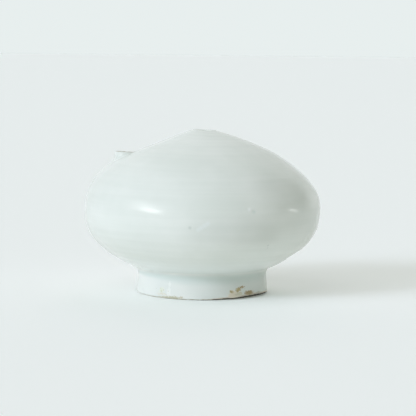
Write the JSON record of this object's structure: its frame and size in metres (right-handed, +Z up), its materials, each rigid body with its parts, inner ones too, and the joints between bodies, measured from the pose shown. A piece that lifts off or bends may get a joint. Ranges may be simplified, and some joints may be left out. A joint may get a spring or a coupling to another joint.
{
  "type": "water dropper",
  "caption": "Squat onion-shaped porcelain vessel on a foot ring, with a filling hole in its tip and a stub spout on its shoulder, for dripping water onto an inkstone.",
  "frame": {"origin": "middle of the foot ring's resting face", "axes": "+Z up through the filling hole, -X towards the spout"},
  "size_m": [0.09, 0.09, 0.0622],
  "materials": {
    "glazed_porcelain": "clear gloss glaze with a faint blue-green cast",
    "foot_porcelain": "thin glaze, wiped off the resting face, with kiln grit",
    "joining_slip": "fired slip under the glaze"
  },
  "bodies": {
    "root": {"foot_ring": "foot_porcelain", "foot_slip": "joining_slip", "lower_bowl": "glazed_porcelain", "belly_slip": "joining_slip", "upper_dome": "glazed_porcelain", "spout": "glazed_porcelain", "spout_slip": "joining_slip"}
  },
  "joints": []
}
